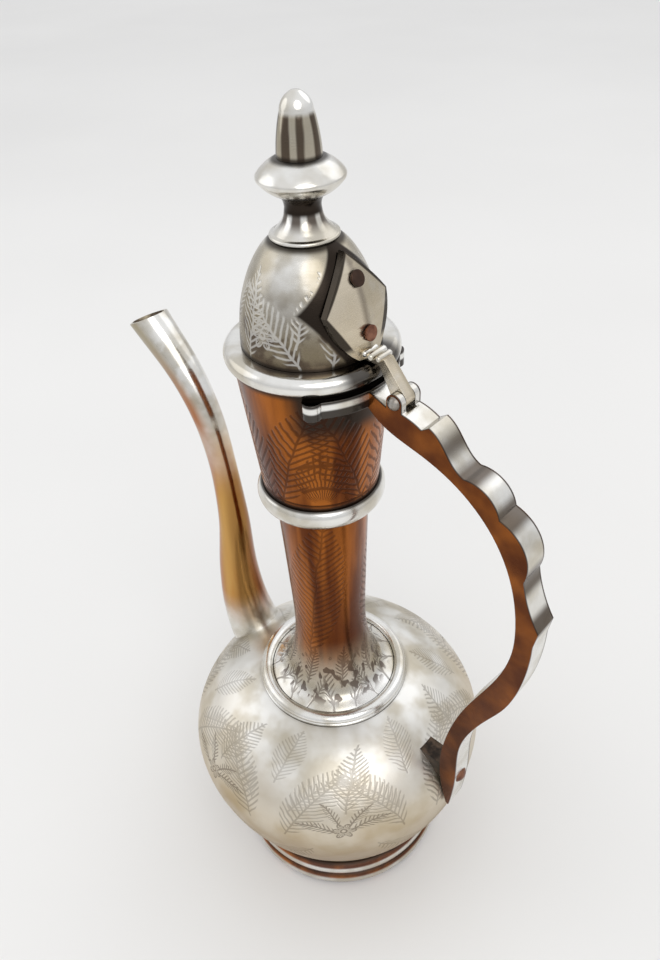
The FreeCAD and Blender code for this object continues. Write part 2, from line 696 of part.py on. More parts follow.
def finial_stud():
    low = dome_top_z - DOME_WALL - WASHER_THICKNESS - NUT_HEIGHT - STUD_END
    return pin_along(UP, at(0, low), STUD_RADIUS, finial_tip_z + STUD_ENGAGEMENT - low)


def finial_washer():
    low = dome_top_z - DOME_WALL - WASHER_THICKNESS
    disc = pin_along(UP, at(0, low), WASHER_RADIUS, WASHER_THICKNESS)
    return disc.cut(pin_along(UP, at(0, low), stud_hole_radius, WASHER_THICKNESS))


def finial_nut():
    low = dome_top_z - DOME_WALL - WASHER_THICKNESS - NUT_HEIGHT
    across_corners = NUT_ACROSS_FLATS / math.cos(math.radians(30))
    corners = [FreeCAD.Vector(across_corners / 2 * math.cos(math.radians(60 * k)),
                              across_corners / 2 * math.sin(math.radians(60 * k)), low) for k in range(7)]
    hexagon = Part.Face(Part.makePolygon(corners)).extrude(UP * NUT_HEIGHT)
    return hexagon.cut(pin_along(UP, at(0, low), STUD_RADIUS, NUT_HEIGHT))


def main():
    os.makedirs("parts", exist_ok=True)
    blank = body_blank()
    spout_bore = spout_rod(SPOUT_WALL, SPOUT_ROOT_RADIUS)
    bar = handle_bar(blank)
    dome = lid_dome()
    pieces = {
        "foot_ring": foot_ring(),
        "base_disc": base_disc(),
        "body_lower_shell": body_lower_shell(),
        "body_upper_shell": body_upper_shell(spout_bore),
        "neck_collar": neck_collar(blank),
        "neck_lower": neck_lower(blank),
        "mid_ring": mid_ring(),
        "neck_upper": neck_upper(),
        "mouth_rim": mouth_rim(),
        "spout_tube": spout_tube(spout_bore, blank),
        "handle": bar.cut(rivet_bore()),
        "handle_post": handle_post(blank, bar),
        "handle_rivet": handle_rivet(blank, bar),
        "neck_saddle": neck_saddle(),
        "hinge_pin": hinge_pin(),
        "lid_dome": dome,
        "lid_flange": lid_flange(dome),
        "lid_strap": lid_strap(),
        "strap_rivets": strap_rivets(),
        "finial_base": finial_base(),
        "finial_disc": finial_disc(),
        "finial_tip": finial_tip(),
        "finial_stud": finial_stud(),
        "finial_washer": finial_washer(),
        "finial_nut": finial_nut(),
    }
    for name, shape in pieces.items():
        print(name, len(shape.Solids), shape.isValid(), round(shape.Volume, 1))
        shape.exportStep("parts/" + name + ".step")


main()
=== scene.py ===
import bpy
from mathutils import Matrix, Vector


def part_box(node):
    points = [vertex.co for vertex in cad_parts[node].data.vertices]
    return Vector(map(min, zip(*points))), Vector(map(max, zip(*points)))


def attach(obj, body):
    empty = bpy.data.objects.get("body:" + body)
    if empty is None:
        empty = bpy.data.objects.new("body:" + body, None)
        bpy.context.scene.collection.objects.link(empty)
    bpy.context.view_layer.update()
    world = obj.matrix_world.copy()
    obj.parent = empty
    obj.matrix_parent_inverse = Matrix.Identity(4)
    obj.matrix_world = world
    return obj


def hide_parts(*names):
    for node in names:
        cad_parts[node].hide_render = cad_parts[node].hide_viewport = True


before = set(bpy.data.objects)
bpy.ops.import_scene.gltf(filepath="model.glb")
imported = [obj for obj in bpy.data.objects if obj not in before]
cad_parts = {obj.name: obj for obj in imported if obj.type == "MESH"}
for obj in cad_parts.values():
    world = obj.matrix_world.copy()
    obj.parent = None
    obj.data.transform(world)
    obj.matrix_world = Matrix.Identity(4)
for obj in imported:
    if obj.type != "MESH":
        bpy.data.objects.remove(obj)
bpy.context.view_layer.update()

import math

import bpy
from mathutils import Matrix, Vector
from mathutils.geometry import interpolate_bezier

MM = 0.001

# Turning and shading
SEGMENTS = 144
BEAD_SEGMENTS = 32
MERGE_DISTANCE = 1e-6
SMOOTH_ANGLE = math.radians(35)
FLAT_ANGLE = math.radians(1)

# Edges sharper than these angles are eased, in a few steps
EDGE_ANGLE = math.radians(38)
LIP_ANGLE = math.radians(50)
EDGE_STEPS = 3

# Slots of the record
POLISHED = "polished_silver_plate"
SATIN = "engraved_silver_plate"
RIVET = "copper_rivet"
FASTENER = "steel_fastener"

# Walls and small shapes that the frame's boxes don't give, in mm
BODY_WALL = 1.2
NECK_WALL = 1.1
DOME_WALL = 1.0
SPOUT_WALL = 1.0
FOOT_BORE_RADIUS = 30.0
FOOT_STANDING_RADIUS = 33.1
FOOT_GROOVE_RADIUS = 34.0
BODY_OPENING_RADIUS = 16.0
BODY_SEAT_RADIUS = 33.6
NECK_WAIST_RADIUS = 10.75
NECK_WAIST_RISE = 26.0
NECK_TOP_RADIUS = 12.5
CUP_FOOT_RADIUS = 14.9
COLLAR_BORE_RADIUS = 19.5
RIM_BORE_RADIUS = 15.7
DOME_TOP_RADIUS = 7.2
FINIAL_BORE_RADIUS = 1.5
FINIAL_NECK_RADIUS = 4.7
LEAF_HEIGHT = 22.7
STRAP_TAIL_RISE = 2.2

# Beads across the strap's tail: inset from the rim's edge, radius and half length, in mm
STRAP_BEADS = ((3.2, 0.75, 2.5), (1.3, 0.95, 3.0), (-0.6, 0.75, 2.5))

# Power of the shoulder's line, which would be an ellipse at 2
SHOULDER_FULLNESS = 1.75

# Spout in mm: its line as (x, z), the place of its mouth, lengths along it and radii
SPOUT_LINE = ((-32.8, 60.5), (-40.5, 77.0), (-42.4, 95.0), (-40.7, 122.0), (-43.6, 150.5), (-51.1, 167.5),
              (-66.0, 183.0), (-70.2, 187.2))
SPOUT_UPPER_BEND = SPOUT_LINE[4]
SPOUT_MOUTH = (-65.5, 182.5)
SPOUT_LENGTH = 138.0
SPOUT_THROAT = 82.0
SPOUT_ROOT_RADIUS = 10.0
SPOUT_THROAT_RADIUS = 4.05
SPOUT_MOUTH_RADIUS = 6.0
SPOUT_LIP_EDGE = 0.3

# Power of the spout's widening, and how finely its round is divided
SPOUT_FLARE_POWER = 1.5
SPOUT_ROUNDNESS = 14

# Lean of the spout's line at its tip, and of the cut mouth from square to it, in degrees
SPOUT_TIP_LEAN = 43.5
SPOUT_LIP_TILT = 17.0

# Camera
CAMERA_AZIMUTH = 45.0
CAMERA_DISTANCE = 0.1595
CAMERA_HEIGHT = 0.285
CAMERA_PITCH = 39.11
CAMERA_YAW = 0.82
CAMERA_ROLL = 3.34
CAMERA_LENS = 29.25

# Studio in m: each lamp's name, place, width and power, and the sky's strength at eye level and high up
FLOOR_RADIUS = 6.0
LAMPS = (("key", (0.55, -0.35, 0.75), 0.7, 1.8), ("side", (-0.75, -0.45, 0.55), 0.8, 0.9),
         ("back", (0.1, 0.8, 0.8), 0.9, 0.9))
LAMP_AIM = (0, 0, 0.12)
SKY_LEVEL_STRENGTH = 0.74
SKY_HIGH_STRENGTH = 0.96
SKY_HIGH = 0.75

# Colours of the metal, and of the shade and reflections painted on it
SILVER = (0.82, 0.81, 0.78, 1)
WARM_SILVER = (0.58, 0.54, 0.46, 1)
# This near black is painted shade in creases, gaps and under parts, and the black of the upper rivet
DEEP_BLACK = (0.030, 0.023, 0.018, 1)
ENGRAVED = (0.085, 0.06, 0.04, 1)
# The browns below, and dusk and beige, are painted reflections, mostly of a warm brown surface; beige also
# tints the strap
DEEP_BROWN = (0.11, 0.028, 0.007, 1)
BROWN = (0.38, 0.118, 0.020, 1)
GOLDEN = (0.58, 0.33, 0.10, 1)
TAN = (0.38, 0.25, 0.075, 1)
OCHRE = (0.25, 0.135, 0.035, 1)
DUSK = (0.20, 0.165, 0.11, 1)
BEIGE = (0.64, 0.55, 0.41, 1)
OLIVE = (0.36, 0.31, 0.22, 1)
# This dark umber is painted shade and reflection on several pieces, and tones the dark lining
DARK_UMBER = (0.085, 0.062, 0.045, 1)
BURNT = (0.045, 0.014, 0.006, 1)
DULL_SILVER = (0.10, 0.07, 0.05, 1)
BLACK_SILVER = (0.03, 0.024, 0.02, 1)
COPPER = (0.28, 0.13, 0.08, 1)
DARK_COPPER = (0.13, 0.05, 0.03, 1)
STEEL = (0.45, 0.43, 0.40, 1)
DARK_STEEL = (0.26, 0.23, 0.20, 1)

# Colours of the studio
PAPER = (0.80, 0.79, 0.77, 1)
PALE_PAPER = (0.84, 0.83, 0.81, 1)
SKY = (0.97, 0.98, 1.0, 1)

# Marks in the silver, in mm
PATCH_SIZE = 11
RUBBING_SIZE = 1.6
GRAIN_SIZE = 0.35
WAVER_SIZE = 7
CUT_WIDTH = 0.4

# How strongly the relief of these marks shows
RELIEF_STRENGTH = 0.7

# Heights in mm from where a tone, painted shade or painted reflection begins to where it is full
BELLY_BEIGE = (94, 76)
BOWL_TAN = (90, 64)
BOWL_OCHRE = (76, 50)
SADDLE_SHADOW = (178, 185)
SPOUT_GOLD_FROM_ROOT = (74, 90)
SPOUT_GOLD_FROM_MOUTH = (172, 138)
SPOUT_UNDERSIDE = (146, 158)
SPOUT_UNDERSIDE_GREY = (158, 180)
STRAP_FOLD = (198, 202)
STRAP_LEAF = (201, 203)
UPPER_RIVET = (209, 211)

# Notches in the handle's back, darkened by painted reflection, as (x, z, reach) in mm
HANDLE_NOTCHES = ((38.5, 184.5, 4.0), (46.0, 180.0, 4.5), (55.5, 174.0, 4.5), (62.5, 160.5, 5.0),
                  (67.0, 149.0, 4.0))


def radius_of(node):
    """A CAD piece's radius, in mm."""
    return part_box(node)[1].y / MM


def bottom_of(node):
    """The height of a CAD piece's lowest point, in mm."""
    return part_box(node)[0].z / MM


def top_of(node):
    """The height of a CAD piece's highest point, in mm."""
    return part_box(node)[1].z / MM


def arc(start, middle, end, steps=12):
    """Points on the round line from start through middle to end."""
    (ax, ay), (bx, by), (cx, cy) = start, middle, end
    scale = 2 * (ax * (by - cy) + bx * (cy - ay) + cx * (ay - by))
    squares = [x * x + y * y for x, y in (start, middle, end)]
    x = (squares[0] * (by - cy) + squares[1] * (cy - ay) + squares[2] * (ay - by)) / scale
    y = (squares[0] * (cx - bx) + squares[1] * (ax - cx) + squares[2] * (bx - ax)) / scale
    first, mid, last = [math.atan2(py - y, px - x) for px, py in (start, middle, end)]
    sweep = (last - first) % math.tau
    if (mid - first) % math.tau > sweep:
        sweep -= math.tau
    radius = math.hypot(ax - x, ay - y)
    angles = [first + sweep * step / steps for step in range(steps + 1)]
    return [(x + radius * math.cos(angle), y + radius * math.sin(angle)) for angle in angles]


def soft(points, steps, start=None, end=None):
    """Points on a soft curve through the given ones, with ways of leaving and arriving if given."""
    spots = [Vector(point) for point in points]
    befores = spots[:1] + spots
    afters = spots[1:] + spots[-1:]
    ways = [(after - before).normalized() for before, after in zip(befores, afters)]
    if start:
        ways[0] = Vector(start).normalized()
    if end:
        ways[-1] = Vector(end).normalized()
    curve = [points[0]]
    for here, there, way_here, way_there in zip(spots, spots[1:], ways, ways[1:]):
        reach = (there - here).length / 3
        leaving = here + way_here * reach
        arriving = there - way_there * reach
        stretch = interpolate_bezier(here, leaving, arriving, there, steps + 1)
        curve += [tuple(spot[:2]) for spot in stretch[1:]]
    return curve


def between(low, high, shares):
    """Points from low to high: each share says how far the radius and the height have come."""
    return [(low[0] + a * (high[0] - low[0]), low[1] + b * (high[1] - low[1])) for a, b in shares]


def chosen(piece):
    """Selects one object alone and makes it the active one."""
    bpy.ops.object.select_all(action="DESELECT")
    piece.select_set(True)
    bpy.context.view_layer.objects.active = piece


def opened(piece):
    """Opens one object for editing, with all of it selected."""
    chosen(piece)
    bpy.ops.object.mode_set(mode="EDIT")
    bpy.ops.mesh.select_all(action="SELECT")


def closed():
    """Ends the editing of the open object."""
    bpy.ops.object.mode_set(mode="OBJECT")


def modified(piece, kind, **settings):
    """Adds a modifier with its settings and applies it."""
    chosen(piece)
    modifier = piece.modifiers.new(kind.lower(), kind)
    for name, value in settings.items():
        setattr(modifier, name, value)
    bpy.ops.object.modifier_apply(modifier=modifier.name)


def cleaned(piece, flat_angle=None):
    """Merges doubled points, joins flat facets if asked, faces outwards and smooths the shading."""
    opened(piece)
    bpy.ops.mesh.remove_doubles(threshold=MERGE_DISTANCE)
    if flat_angle:
        bpy.ops.mesh.dissolve_limited(angle_limit=flat_angle)
    bpy.ops.mesh.normals_make_consistent(inside=False)
    closed()
    bpy.ops.object.shade_smooth_by_angle(angle=SMOOTH_ANGLE)


def drawn(name, points):
    """A line in space, drawn by extruding a single point through points in mm."""
    bpy.ops.object.select_all(action="DESELECT")
    bpy.ops.mesh.primitive_plane_add(size=MM)
    piece = bpy.context.active_object
    piece.name = name
    piece.data.name = name
    opened(piece)
    bpy.ops.mesh.merge(type="CENTER")
    bpy.ops.transform.translate(value=Vector(points[0]) * MM)
    for here, there in zip(points, points[1:]):
        step = (Vector(there) - Vector(here)) * MM
        bpy.ops.mesh.extrude_region_move(TRANSFORM_OT_translate={"value": step})
    closed()
    return piece


def lathed(piece, axis, segments):
    """Turns a drawn line round an axis through the origin."""
    modified(piece, "SCREW", axis=axis, steps=segments, render_steps=segments, use_merge_vertices=True,
             merge_threshold=MERGE_DISTANCE)


def eased(piece, edge, angle):
    """Rounds the edges that are sharper than an angle, by a width in mm."""
    modified(piece, "BEVEL", width=edge * MM, segments=EDGE_STEPS, limit_method="ANGLE", angle_limit=angle)
    cleaned(piece)


def walled(piece, wall):
    """Gives a skin a wall inwards, in mm; its inner faces take the second of the piece's two materials."""
    for _ in range(2):
        piece.data.materials.append(None)
    modified(piece, "SOLIDIFY", thickness=wall * MM, offset=-1, use_even_offset=True, material_offset=1)


def faced_out(piece):
    """Turns the faces of a skin away from the axis, if they look towards it."""
    face = piece.data.polygons[0]
    if face.normal.dot(Vector((face.center.x, face.center.y, 0))) < 0:
        opened(piece)
        bpy.ops.mesh.flip_normals()
        closed()


def turned(name, outline, wall=0.0):
    """A piece turned round the axis from (radius, height) points in mm, with a wall inside if given."""
    piece = drawn(name, [(radius, 0, height) for radius, height in outline])
    lathed(piece, "Z", SEGMENTS)
    cleaned(piece)
    if wall:
        faced_out(piece)
        walled(piece, wall)
        cleaned(piece)
    return piece


def softened(node, name, edge):
    """A copy of a CAD piece with its flat facets joined and its edges eased, in mm."""
    piece = bpy.data.objects.new(name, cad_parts[node].data.copy())
    piece.data.name = name
    piece.data.materials.clear()
    bpy.context.scene.collection.objects.link(piece)
    cleaned(piece, FLAT_ANGLE)
    eased(piece, edge, EDGE_ANGLE)
    return piece


class Value:
    """A number or colour that varies over a surface; arithmetic on it adds Math nodes."""

    def __init__(self, owner, socket):
        self.owner = owner
        self.socket = socket

    def __add__(self, other):
        return self.owner.math("ADD", self, other)

    __radd__ = __add__

    def __sub__(self, other):
        return self.owner.math("SUBTRACT", self, other)

    def __rsub__(self, other):
        return self.owner.math("SUBTRACT", other, self)

    def __mul__(self, other):
        return self.owner.math("MULTIPLY", self, other)

    __rmul__ = __mul__

    def __truediv__(self, other):
        return self.owner.math("DIVIDE", self, other)

    def __abs__(self):
        return self.owner.math("ABSOLUTE", self)


class Nodes:
    """The nodes of a material or of the world."""

    def __init__(self, owner):
        owner.use_nodes = True
        self.nodes = owner.node_tree.nodes
        self.links = owner.node_tree.links

    def node(self, kind, settings, sockets, output=0):
        """Adds a node: its settings are set first, then its sockets get values or links."""
        made = self.nodes.new(kind)
        for name, setting in settings.items():
            setattr(made, name, setting)
        for name, value in sockets.items():
            if isinstance(value, Value):
                self.links.new(value.socket, made.inputs[name])
            else:
                made.inputs[name].default_value = value
        return Value(self, made.outputs[output])

    def math(self, operation, *values):
        return self.node("ShaderNodeMath", {"operation": operation}, dict(enumerate(values)))


class Look(Nodes):
    """A material and the nodes that vary it over a surface. Places are in mm."""

    def __init__(self, name):
        self.material = bpy.data.materials.new(name)
        super().__init__(self.material)
        self.shader = self.nodes["Principled BSDF"]
        self.place = self.node("ShaderNodeTexCoord", {}, {}, "Object")
        self.x, self.y, self.z = [self.along(axis) for axis in "XYZ"]

    def along(self, axis):
        """The place along one axis."""
        return self.node("ShaderNodeSeparateXYZ", {}, {0: self.place}, axis) / MM

    def most(self, *values):
        """The largest of some values."""
        largest = values[0]
        for value in values[1:]:
            largest = self.math("MAXIMUM", largest, value)
        return largest

    def fade(self, value, low, high):
        """0 at low and 1 at high, soft between and level beyond."""
        return self.node("ShaderNodeMapRange", {"interpolation_type": "SMOOTHSTEP"},
                         {"Value": value, "From Min": low, "From Max": high})

    def line(self, distance, width):
        """1 on a line and 0 away from it."""
        return self.fade(abs(distance), width, width * 0.4)

    def cloud(self, size, stretch=(1, 1, 1), detail=3.0):
        """Cloudy values round a half, with patches of a size in mm."""
        where = self.node("ShaderNodeVectorMath", {"operation": "MULTIPLY"}, {0: self.place, 1: stretch})
        return self.node("ShaderNodeTexNoise", {},
                         {"Vector": where, "Scale": 1 / (size * MM), "Detail": detail})

    def mix(self, share, first, second):
        """One colour turning into another."""
        return self.node("ShaderNodeMix", {"data_type": "RGBA"}, {0: share, 6: first, 7: second}, 2)

    def radius(self):
        """The distance from the pot's axis."""
        return self.math("SQRT", self.x * self.x + self.y * self.y)

    def turn(self):
        """The angle round the pot's axis, as a share of a full turn."""
        return self.math("ARCTAN2", self.y, self.x) / math.tau

    def finish(self, colour, roughness, height, metallic=0.0):
        """Links what varies to the shader; height is a relief in mm."""
        bump = self.node("ShaderNodeBump", {},
                         {"Strength": RELIEF_STRENGTH, "Distance": MM, "Height": height})
        self.shader.inputs["Metallic"].default_value = metallic
        self.links.new(colour.socket, self.shader.inputs["Base Color"])
        self.links.new(roughness.socket, self.shader.inputs["Roughness"])
        self.links.new(bump.socket, self.shader.inputs["Normal"])
        return self.material


def frond(look, x, y, root, lean, length, width, bend, pitch):
    """One engraved palm frond: a bent stem with slanted strokes on both sides at a pitch, in mm."""
    cos = math.cos(math.radians(lean))
    sin = math.sin(math.radians(lean))
    from_x = x - root[0]
    from_y = y - root[1]
    along = from_x * sin + from_y * cos
    share = along / length
    across = from_x * cos - from_y * sin - share * share * bend
    inside = share * (1 - share) * (4 * width) - abs(across)
    within = look.fade(inside, 0.0, 0.6)
    stroke = look.math("FRACT", (along - abs(across) * 0.9) / pitch)
    strokes = look.fade(abs(stroke - 0.5), 0.20, 0.42) * within
    stem = look.line(across, CUT_WIDTH) * look.fade(share * (1 - share), 0.0, 0.02)
    return look.most(stem, strokes)


def flower(look, x, y, middle, size):
    """One engraved flower: six petals filled with strokes round an open eye, in mm."""
    from_x = x - middle[0]
    from_y = y - middle[1]
    away = look.math("SQRT", from_x * from_x + from_y * from_y) / size
    angle = look.math("ARCTAN2", from_y, from_x)
    petals = abs(look.math("COSINE", angle * 3)) * 0.5 + 0.5
    stroke = look.math("FRACT", angle * (30 / math.tau))
    within = look.fade(away, 0.3, 0.45) * look.fade(petals - away, 0.0, 0.1)
    strokes = look.fade(abs(stroke - 0.5), 0.2, 0.4) * within
    outline = look.line((away - petals) * size, CUT_WIDTH)
    eye = look.line((away - 0.24) * size, CUT_WIDTH)
    return look.most(outline, eye, strokes)


def fan(look, x, y, root, lean, spread, reach):
    """One engraved fan: strokes spread from a root and broken by arcs, in mm and degrees."""
    from_x = x - root[0]
    from_y = y - root[1]
    half = math.radians(spread)
    away = look.math("SQRT", from_x * from_x + from_y * from_y)
    angle = look.math("ARCTAN2", from_x, from_y) - math.radians(lean)
    edge = reach - abs(angle) * (reach * 0.45 / half)
    within = look.fade(edge - away, 0.0, 0.5) * look.fade(half - abs(angle), 0.0, 0.08)
    stroke = look.math("FRACT", angle * (reach * 0.5))
    ring = look.math("FRACT", away * (2.6 / reach))
    cuts = look.most(look.fade(abs(stroke - 0.5), 0.20, 0.40), look.fade(abs(ring - 0.5), 0.38, 0.46))
    return cuts * within * look.fade(away, reach * 0.12, reach * 0.22)


def spray(look, count, shift, height, fronds=(), flowers=(), fans=()):
    """Shapes repeated round the pot, with lines that waver as hand-cut ones do.

    A frond is (root, lean, length, width, bend, pitch), a flower (middle, size) and a fan
    (root, lean, spread, reach), in mm and degrees.
    """
    cell = look.math("FRACT", look.turn() * count + shift) - 0.5
    waver = look.cloud(WAVER_SIZE) * 2.4 - 1.2
    x = cell * look.radius() * (math.tau / count) + waver
    y = height + waver
    cuts = [frond(look, x, y, *shape) for shape in fronds]
    cuts += [flower(look, x, y, *shape) for shape in flowers]
    cuts += [fan(look, x, y, *shape) for shape in fans]
    return look.most(*cuts)


def nicks(look, size):
    """Short dark cuts scattered without order, of a size in mm."""
    return look.fade(look.cloud(size, stretch=(1, 1, 0.6), detail=1), 0.57, 0.63)


def silver(name, roughness, creases=(), stains_and_painted_light=None, engraving=None, ink=ENGRAVED):
    """Silver plate polished by hand, with tones, painted shade and reflections, engraving, and painted
    shade darkening its creases.

    A crease is (height, reach) in mm.
    """
    look = Look(name)
    patches = look.cloud(PATCH_SIZE)
    rubbing = look.cloud(RUBBING_SIZE, stretch=(1, 1, 5), detail=5)
    grain = look.cloud(GRAIN_SIZE, detail=2)
    colour = look.mix(look.fade(patches, 0.40, 0.66), SILVER, WARM_SILVER)
    rough = patches * 0.10 + rubbing * 0.12 + (roughness - 0.11)
    height = patches * 0.25 + rubbing * 0.012 + grain * 0.003
    # Tones, painted shade and painted reflections are mixed over the silver
    if stains_and_painted_light:
        for share, stain_and_painted_light in stains_and_painted_light(look):
            colour = look.mix(share, colour, stain_and_painted_light)
    if engraving:
        lines = engraving(look)
        colour = look.mix(lines * 0.7, colour, ink)
        rough = rough + lines * 0.2
        height = height - lines * 0.12
    # Painted shade: each crease where pieces meet is darkened nearly to black
    for crease, reach in creases:
        crease_shade = look.fade(abs(look.z - crease) - patches * reach * 0.6, reach, 0.0)
        colour = look.mix(crease_shade * 0.9, colour, DEEP_BLACK)
        rough = rough + crease_shade * 0.15
    return look.finish(colour, rough, height, metallic=1.0)


def streaked(look, first, second, size=7):
    """Two tones that run into each other in upright streaks, used for painted reflections."""
    return look.mix(look.fade(look.cloud(size, stretch=(1, 1, 0.1)), 0.34, 0.64), first, second)


def body_engraving(look):
    """Palm sprays and flowers on the shoulder and on the bowl, with a plain border at the belly."""
    climb = look.z - bottom_of("body_upper_shell")
    side = look.math("SIGN", climb)
    height = climb + side * (radius_of("body_upper_shell") - look.radius())
    leaves = [((-19, 1), 22, 34, 7, 8, 2.1), ((19, 2), -24, 33, 7, -8, 2.1), ((1, 14), 4, 27, 6, 3, 1.9)]
    buds = [((-2, 6), -64, 13, 2.6, -4, 1.3), ((2, 7), 58, 12, 2.6, 4, 1.3),
            ((-1, 9), -18, 11, 2.4, -3, 1.2), ((2, 9), 26, 10, 2.2, 3, 1.2)]
    low_leaves = [((-15, 3), 36, 26, 5, 6, 1.9), ((15, 4), -36, 26, 5, -6, 1.9)]
    high_leaves = [((-6, 10), -24, 30, 6, -6, 1.7), ((6, 12), 26, 28, 6, 6, 1.7),
                   ((0, 22), 3, 24, 5, 2, 1.6)]
    return look.most(spray(look, 6, 0.25, height, leaves) * 0.5,
                     spray(look, 6, 0.25, height, buds, [((0, 7), 3.4)]) * 0.8,
                     spray(look, 6, 0.75, height * -1, low_leaves) * 0.5,
                     spray(look, 6, 0.75, height, high_leaves) * 0.4)


def body_stains_and_painted_reflection(look):
    """Grey clouds on the shoulder; painted reflection of a warm brown surface below, beige at the belly and
    golden brown towards the foot.
    """
    shade = look.cloud(24)
    return [(look.fade(shade, 0.46, 0.66) * 0.45, OLIVE),
            (look.fade(look.z + shade * 30, *BELLY_BEIGE) * 0.5, BEIGE),
            (look.fade(look.z + shade * 44, *BOWL_TAN) * 0.6, TAN),
            (look.fade(look.z + shade * 36, *BOWL_OCHRE) * 0.5, OCHRE)]


def neck_engraving(look):
    """Fronds and nicks round the skirt of the neck, and a long frond up each third of the stem."""
    height = look.z - bottom_of("neck_lower")
    fronds = [((-3.5, 0), -9, 15, 2.8, -1.5, 1.4), ((3, 0.5), 17, 12, 2.5, 2, 1.3),
              ((0, 5), 3, 15, 2.4, 1, 1.3)]
    skirt = spray(look, 8, 0.3, height, fronds)
    stem = spray(look, 3, 0.02, height, [((-4, 14), 5, 62, 9, 3, 2.3)])
    cuts = nicks(look, 2.4) * look.fade(height, 20, 10) * look.fade(height, 1.0, 2.5)
    return look.most(skirt * 0.7, cuts, stem * 0.6)


def neck_stains_and_painted_reflection(look):
    """Painted reflection of a warm brown surface in upright streaks on the stem, going over to silver down
    the skirt, with an olive band low on the skirt.
    """
    rise = look.z - bottom_of("neck_lower")
    return [(look.fade(rise, 3, 17), streaked(look, DEEP_BROWN, BROWN)),
            (look.fade(rise, 24, 10) * look.fade(rise, 1, 6) * 0.6, OLIVE)]


def cup_engraving(look):
    """Bent fronds and a fan in each quarter of the cup, over a ring at its foot."""
    height = look.z - bottom_of("neck_upper")
    fronds = [((-11, 2), 10, 37, 8, 5, 2.3), ((11, 2), -12, 36, 8, -5, 2.3)]
    cuts = spray(look, 4, 0.0, height, fronds, fans=[((0, 3), 0, 44, 19)])
    return look.most(cuts * 0.85, look.line(height - 4.0, CUT_WIDTH))


def cup_painted_reflection_and_shadow(look):
    """Painted reflection in deep brown streaks all round, and painted shadow, black, behind the saddle."""
    saddle = look.fade(look.x, 5, 11) * look.fade(look.z, *SADDLE_SHADOW)
    return [(look.fade(look.cloud(9), 0.0, 0.25), streaked(look, DEEP_BROWN, BROWN)),
            (saddle * 0.97, DEEP_BLACK)]


def beside_leaf(look):
    """How far outside the edge of the strap's leaf a place is, in mm across the lid."""
    height = look.z - bottom_of("lid_dome")
    half = look.math("MINIMUM", height * 0.58 + 2.7, (LEAF_HEIGHT - height) * 0.93)
    return abs(look.y) - half


def dome_engraving(look):
    """Slanting fronds, a short one and a flower in each fifth of the dome, clear of the strap's leaf."""
    height = look.z - bottom_of("lid_dome")
    clear = look.most(look.fade(beside_leaf(look), 2.4, 3.2), look.fade(look.x, 1, -1))
    fronds = [((7.5, 0.5), -38, 23, 4.4, -3, 1.6), ((-6.5, 0), 10, 20, 4.0, -2, 1.5),
              ((6, 5), 4, 13, 2.6, 2, 1.4)]
    return spray(look, 5, 0.6, height, fronds, [((-2, 7), 3.0)]) * clear * 0.7


def dome_stains_and_painted_light(look):
    """Grey clouds; painted reflection darkening the lower dome in grey-brown clouds and dark patches,
    darkest at its edge; painted shade, black, in the crease round the strap's leaf.
    """
    height = look.z - bottom_of("lid_dome")
    crease = look.fade(beside_leaf(look), 2.7, 1.9) * look.fade(look.x, 1, 3)
    cloudy = look.fade(height + look.cloud(7) * 14, 32, 8)
    patches = look.fade(look.cloud(4.5), 0.46, 0.60) * look.fade(height, 17, 7)
    edge = look.fade(height + look.cloud(4) * 5, 5.5, 2.5)
    return [(look.fade(look.cloud(9), 0.3, 0.6) * 0.7, OLIVE), (cloudy, DUSK), (patches * 0.85, DARK_UMBER),
            (edge * 0.7, DARK_UMBER), (crease, DEEP_BLACK)]


def spout_stains_and_painted_light(look):
    """Grey clouds; painted reflection in golden brown streaks between a bright root and the upper bend;
    painted shade inside the bends and under the mouth.
    """
    shade = look.cloud(9)
    golden = look.fade(look.z + shade * 16, *SPOUT_GOLD_FROM_MOUTH)
    golden = golden * look.fade(look.z, *SPOUT_GOLD_FROM_ROOT)
    bend_x, bend_z = SPOUT_UPPER_BEND
    climb = look.z - bend_z
    outside = climb * (climb * -0.016 - 0.169) + bend_x - look.x
    under = look.fade(outside, -4.0, -0.5) * look.fade(look.z, *SPOUT_UNDERSIDE)
    return [(look.fade(shade, 0.5, 0.62) * 0.4, OLIVE), (golden, streaked(look, GOLDEN, BROWN, 9)),
            (look.fade(look.x, -40, -37) * golden * 0.5, DEEP_BROWN),
            (under * 0.85, look.mix(look.fade(look.z, *SPOUT_UNDERSIDE_GREY), BROWN, OLIVE))]


def spot(look, x, z, reach):
    """1 near a line across the pot at x and z, and 0 from a reach in mm on."""
    from_x = look.x - x
    from_z = look.z - z
    return look.fade(look.math("SQRT", from_x * from_x + from_z * from_z), reach, reach * 0.4)


def handle_stains_and_painted_light(look):
    """Grey clouds; painted reflection, brown, on the two flat sides, painted shade along their edges, and
    dark painted reflections in the notches of the back.
    """
    half = radius_of("handle")
    notches = look.most(*[spot(look, *notch) for notch in HANDLE_NOTCHES])
    sides = look.mix(look.fade(look.cloud(12), 0.35, 0.85), DEEP_BROWN, BROWN)
    return [(look.fade(look.cloud(16), 0.52, 0.62) * 0.25, OLIVE), (notches * 0.9, DARK_UMBER),
            (look.fade(abs(look.y), half * 0.90, half * 0.97), sides),
            (look.line(abs(look.y) - half * 0.93, 0.3) * 0.8, DEEP_BLACK)]


def rim_painted_shade(look):
    """Painted shade, black where the hinge and the strap stand over the rim."""
    return [(look.fade(look.x, 11, 15) * look.fade(abs(look.y), 11, 7) * 0.9, DEEP_BLACK)]


def saddle_painted_shade_and_highlight(look):
    """Painted shade, dark but for a bright line left along its middle as a painted highlight."""
    middle = (bottom_of("neck_saddle") + top_of("neck_saddle")) / 2
    return [((1 - look.line(look.z - middle - 0.7, 1.0)) * 0.95, DEEP_BLACK)]


